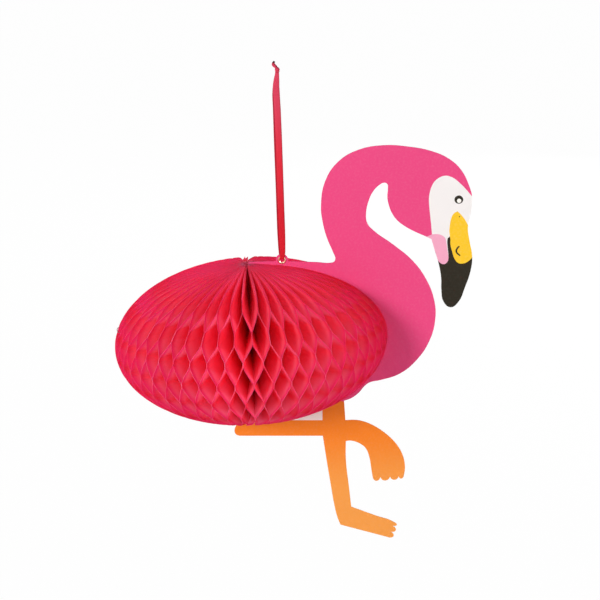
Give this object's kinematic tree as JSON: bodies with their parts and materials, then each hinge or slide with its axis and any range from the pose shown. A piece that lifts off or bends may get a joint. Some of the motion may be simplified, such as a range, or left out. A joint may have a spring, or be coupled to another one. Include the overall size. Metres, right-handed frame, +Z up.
{
  "type": "hanging honeycomb paper flamingo",
  "caption": "Hanging paper flamingo: printed card bird with an opened tissue honeycomb body, eyelet and ribbon loop.",
  "frame": {"origin": "where the ribbon loop is hung, just under its knot", "axes": "+Z up along the hang, +Y away from the viewer of the card's front face, +X towards the bird's head"},
  "size_m": [0.3557, 0.2712, 0.4961],
  "materials": {
    "printed_card": "matte printed card",
    "red_tissue": "matte dyed tissue",
    "eyelet_metal": "polished pale brass",
    "satin_ribbon": "satin weave",
    "clip_wire": "drawn wire"
  },
  "bodies": {
    "root": {"flamingo_card": "printed_card", "honeycomb_body": "red_tissue", "eyelet": "eyelet_metal", "hanging_ribbon": "satin_ribbon", "ribbon_knot": "satin_ribbon", "rim_clip": "clip_wire"}
  },
  "joints": []
}
